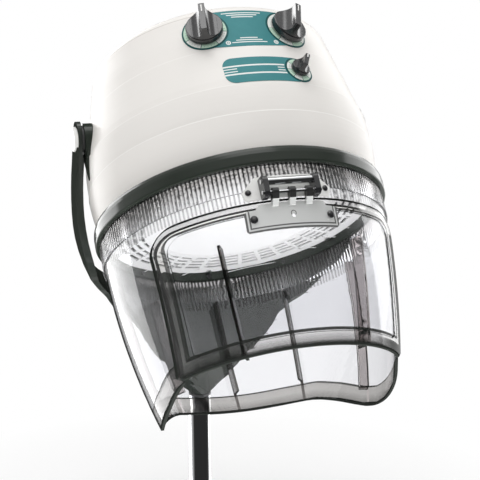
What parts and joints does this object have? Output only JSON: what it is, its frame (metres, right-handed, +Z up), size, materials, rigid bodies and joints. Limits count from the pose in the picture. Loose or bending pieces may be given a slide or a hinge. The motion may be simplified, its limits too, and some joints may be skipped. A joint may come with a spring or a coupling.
{
  "type": "hood hair dryer head",
  "caption": "Tilting salon hair dryer hood with a clear visor, a hinged front door, turning dial knobs and a leaf-shaped yoke that swivels on a stand tube.",
  "frame": {"origin": "centre of the stand tube's lower end", "axes": "+Z up along the stand tube, the open front, the door and the controls face -Y"},
  "size_m": [0.4276, 0.5468, 0.8331],
  "materials": {
    "white_shell": "satin gloss",
    "dark_gloss": "high gloss",
    "clear_plastic": "clear, polished",
    "chrome": "polished",
    "steel": "plated",
    "nylon": "matte",
    "black_plastic": "matte",
    "black_gloss": "gloss",
    "white_plastic": "gloss",
    "grey_plastic": "matte",
    "teal_label": "printed",
    "pale_dial": "printed",
    "mica_board": "mica",
    "motor_paint": "painted",
    "plate_metal": "satin"
  },
  "bodies": {
    "stand": {"stand_tube": "chrome"},
    "yoke": {"yoke_frame": "dark_gloss", "yoke_spigot": "steel", "swivel_washer": "nylon", "hub_screw": "steel", "tilt_pin_left": "steel", "tilt_pin_right": "steel", "pin_nuts": "steel", "friction_washers": "nylon", "pivot_cap_left": "white_plastic", "pivot_cap_right": "white_plastic"},
    "hood": {"lower_shell": "white_shell", "top_cap": "white_shell", "rim_ring": "dark_gloss", "pivot_shoe_left": "dark_gloss", "pivot_shoe_right": "dark_gloss", "pivot_bush_left": "nylon", "pivot_bush_right": "nylon", "cable_gland": "black_plastic", "cap_screws": "steel", "shell_screws": "steel", "upper_label": "teal_label", "lower_label": "teal_label", "dial_rings": "pale_dial", "timer_unit": "black_plastic", "thermostat_unit": "black_plastic", "regulator_unit": "black_plastic", "control_nuts": "steel", "visor_shell": "clear_plastic", "visor_screws": "steel", "diffuser_plate": "white_plastic", "air_duct": "grey_plastic", "heater_frame": "mica_board", "heater_coils": "steel", "motor_bracket": "steel", "bracket_screws": "steel", "fan_motor": "motor_paint", "terminal_block": "white_plastic", "hinge_base": "white_plastic", "hinge_lugs": "black_gloss", "spring_barrel": "chrome", "hinge_pin": "chrome", "hinge_screws": "black_gloss"},
    "door": {"door_panel": "clear_plastic", "door_plate": "plate_metal", "door_screws": "black_gloss"},
    "timer": {"timer_knob": "black_gloss", "timer_shaft": "steel", "timer_mark": "white_plastic"},
    "thermostat": {"thermostat_knob": "black_gloss", "thermostat_shaft": "steel", "thermostat_mark": "white_plastic"},
    "regulator": {"regulator_knob": "black_gloss", "regulator_shaft": "steel", "regulator_mark": "white_plastic"},
    "fan": {"fan_impeller": "black_plastic", "fan_shaft": "steel"}
  },
  "joints": [
    {"name": "yoke_swivel", "type": "hinge", "parent": "stand", "child": "yoke", "pos_m": [0, 0, 0.2], "axis": [0, 0, 1], "range_deg": [-90, 90]},
    {"name": "hood_tilt", "type": "hinge", "parent": "yoke", "child": "hood", "pos_m": [0, -0.133, 0.6503], "axis": [-1, 0, 0], "range_deg": [-9, 30]},
    {"name": "door_hinge", "type": "hinge", "parent": "hood", "child": "door", "pos_m": [0, -0.41269, 0.61175], "axis": [-1, 0, 0], "range_deg": [0, 100]},
    {"name": "timer_turn", "type": "hinge", "parent": "hood", "child": "timer", "pos_m": [-0.05359, -0.2346, 0.79622], "axis": [0.2982, 0.6348, -0.7128], "range_deg": [0, 300]},
    {"name": "thermostat_turn", "type": "hinge", "parent": "hood", "child": "thermostat", "pos_m": [0.05996, -0.23282, 0.79497], "axis": [-0.3337, 0.6248, -0.7059], "range_deg": [0, 270]},
    {"name": "regulator_turn", "type": "hinge", "parent": "hood", "child": "regulator", "pos_m": [0.05659, -0.28775, 0.74608], "axis": [-0.2893, 0.6282, -0.7223], "range_deg": [0, 90]},
    {"name": "fan_spin", "type": "hinge", "parent": "hood", "child": "fan", "pos_m": [0, -0.14332, 0.63556], "axis": [0, 0.5736, 0.8192], "continuous": true}
  ]
}
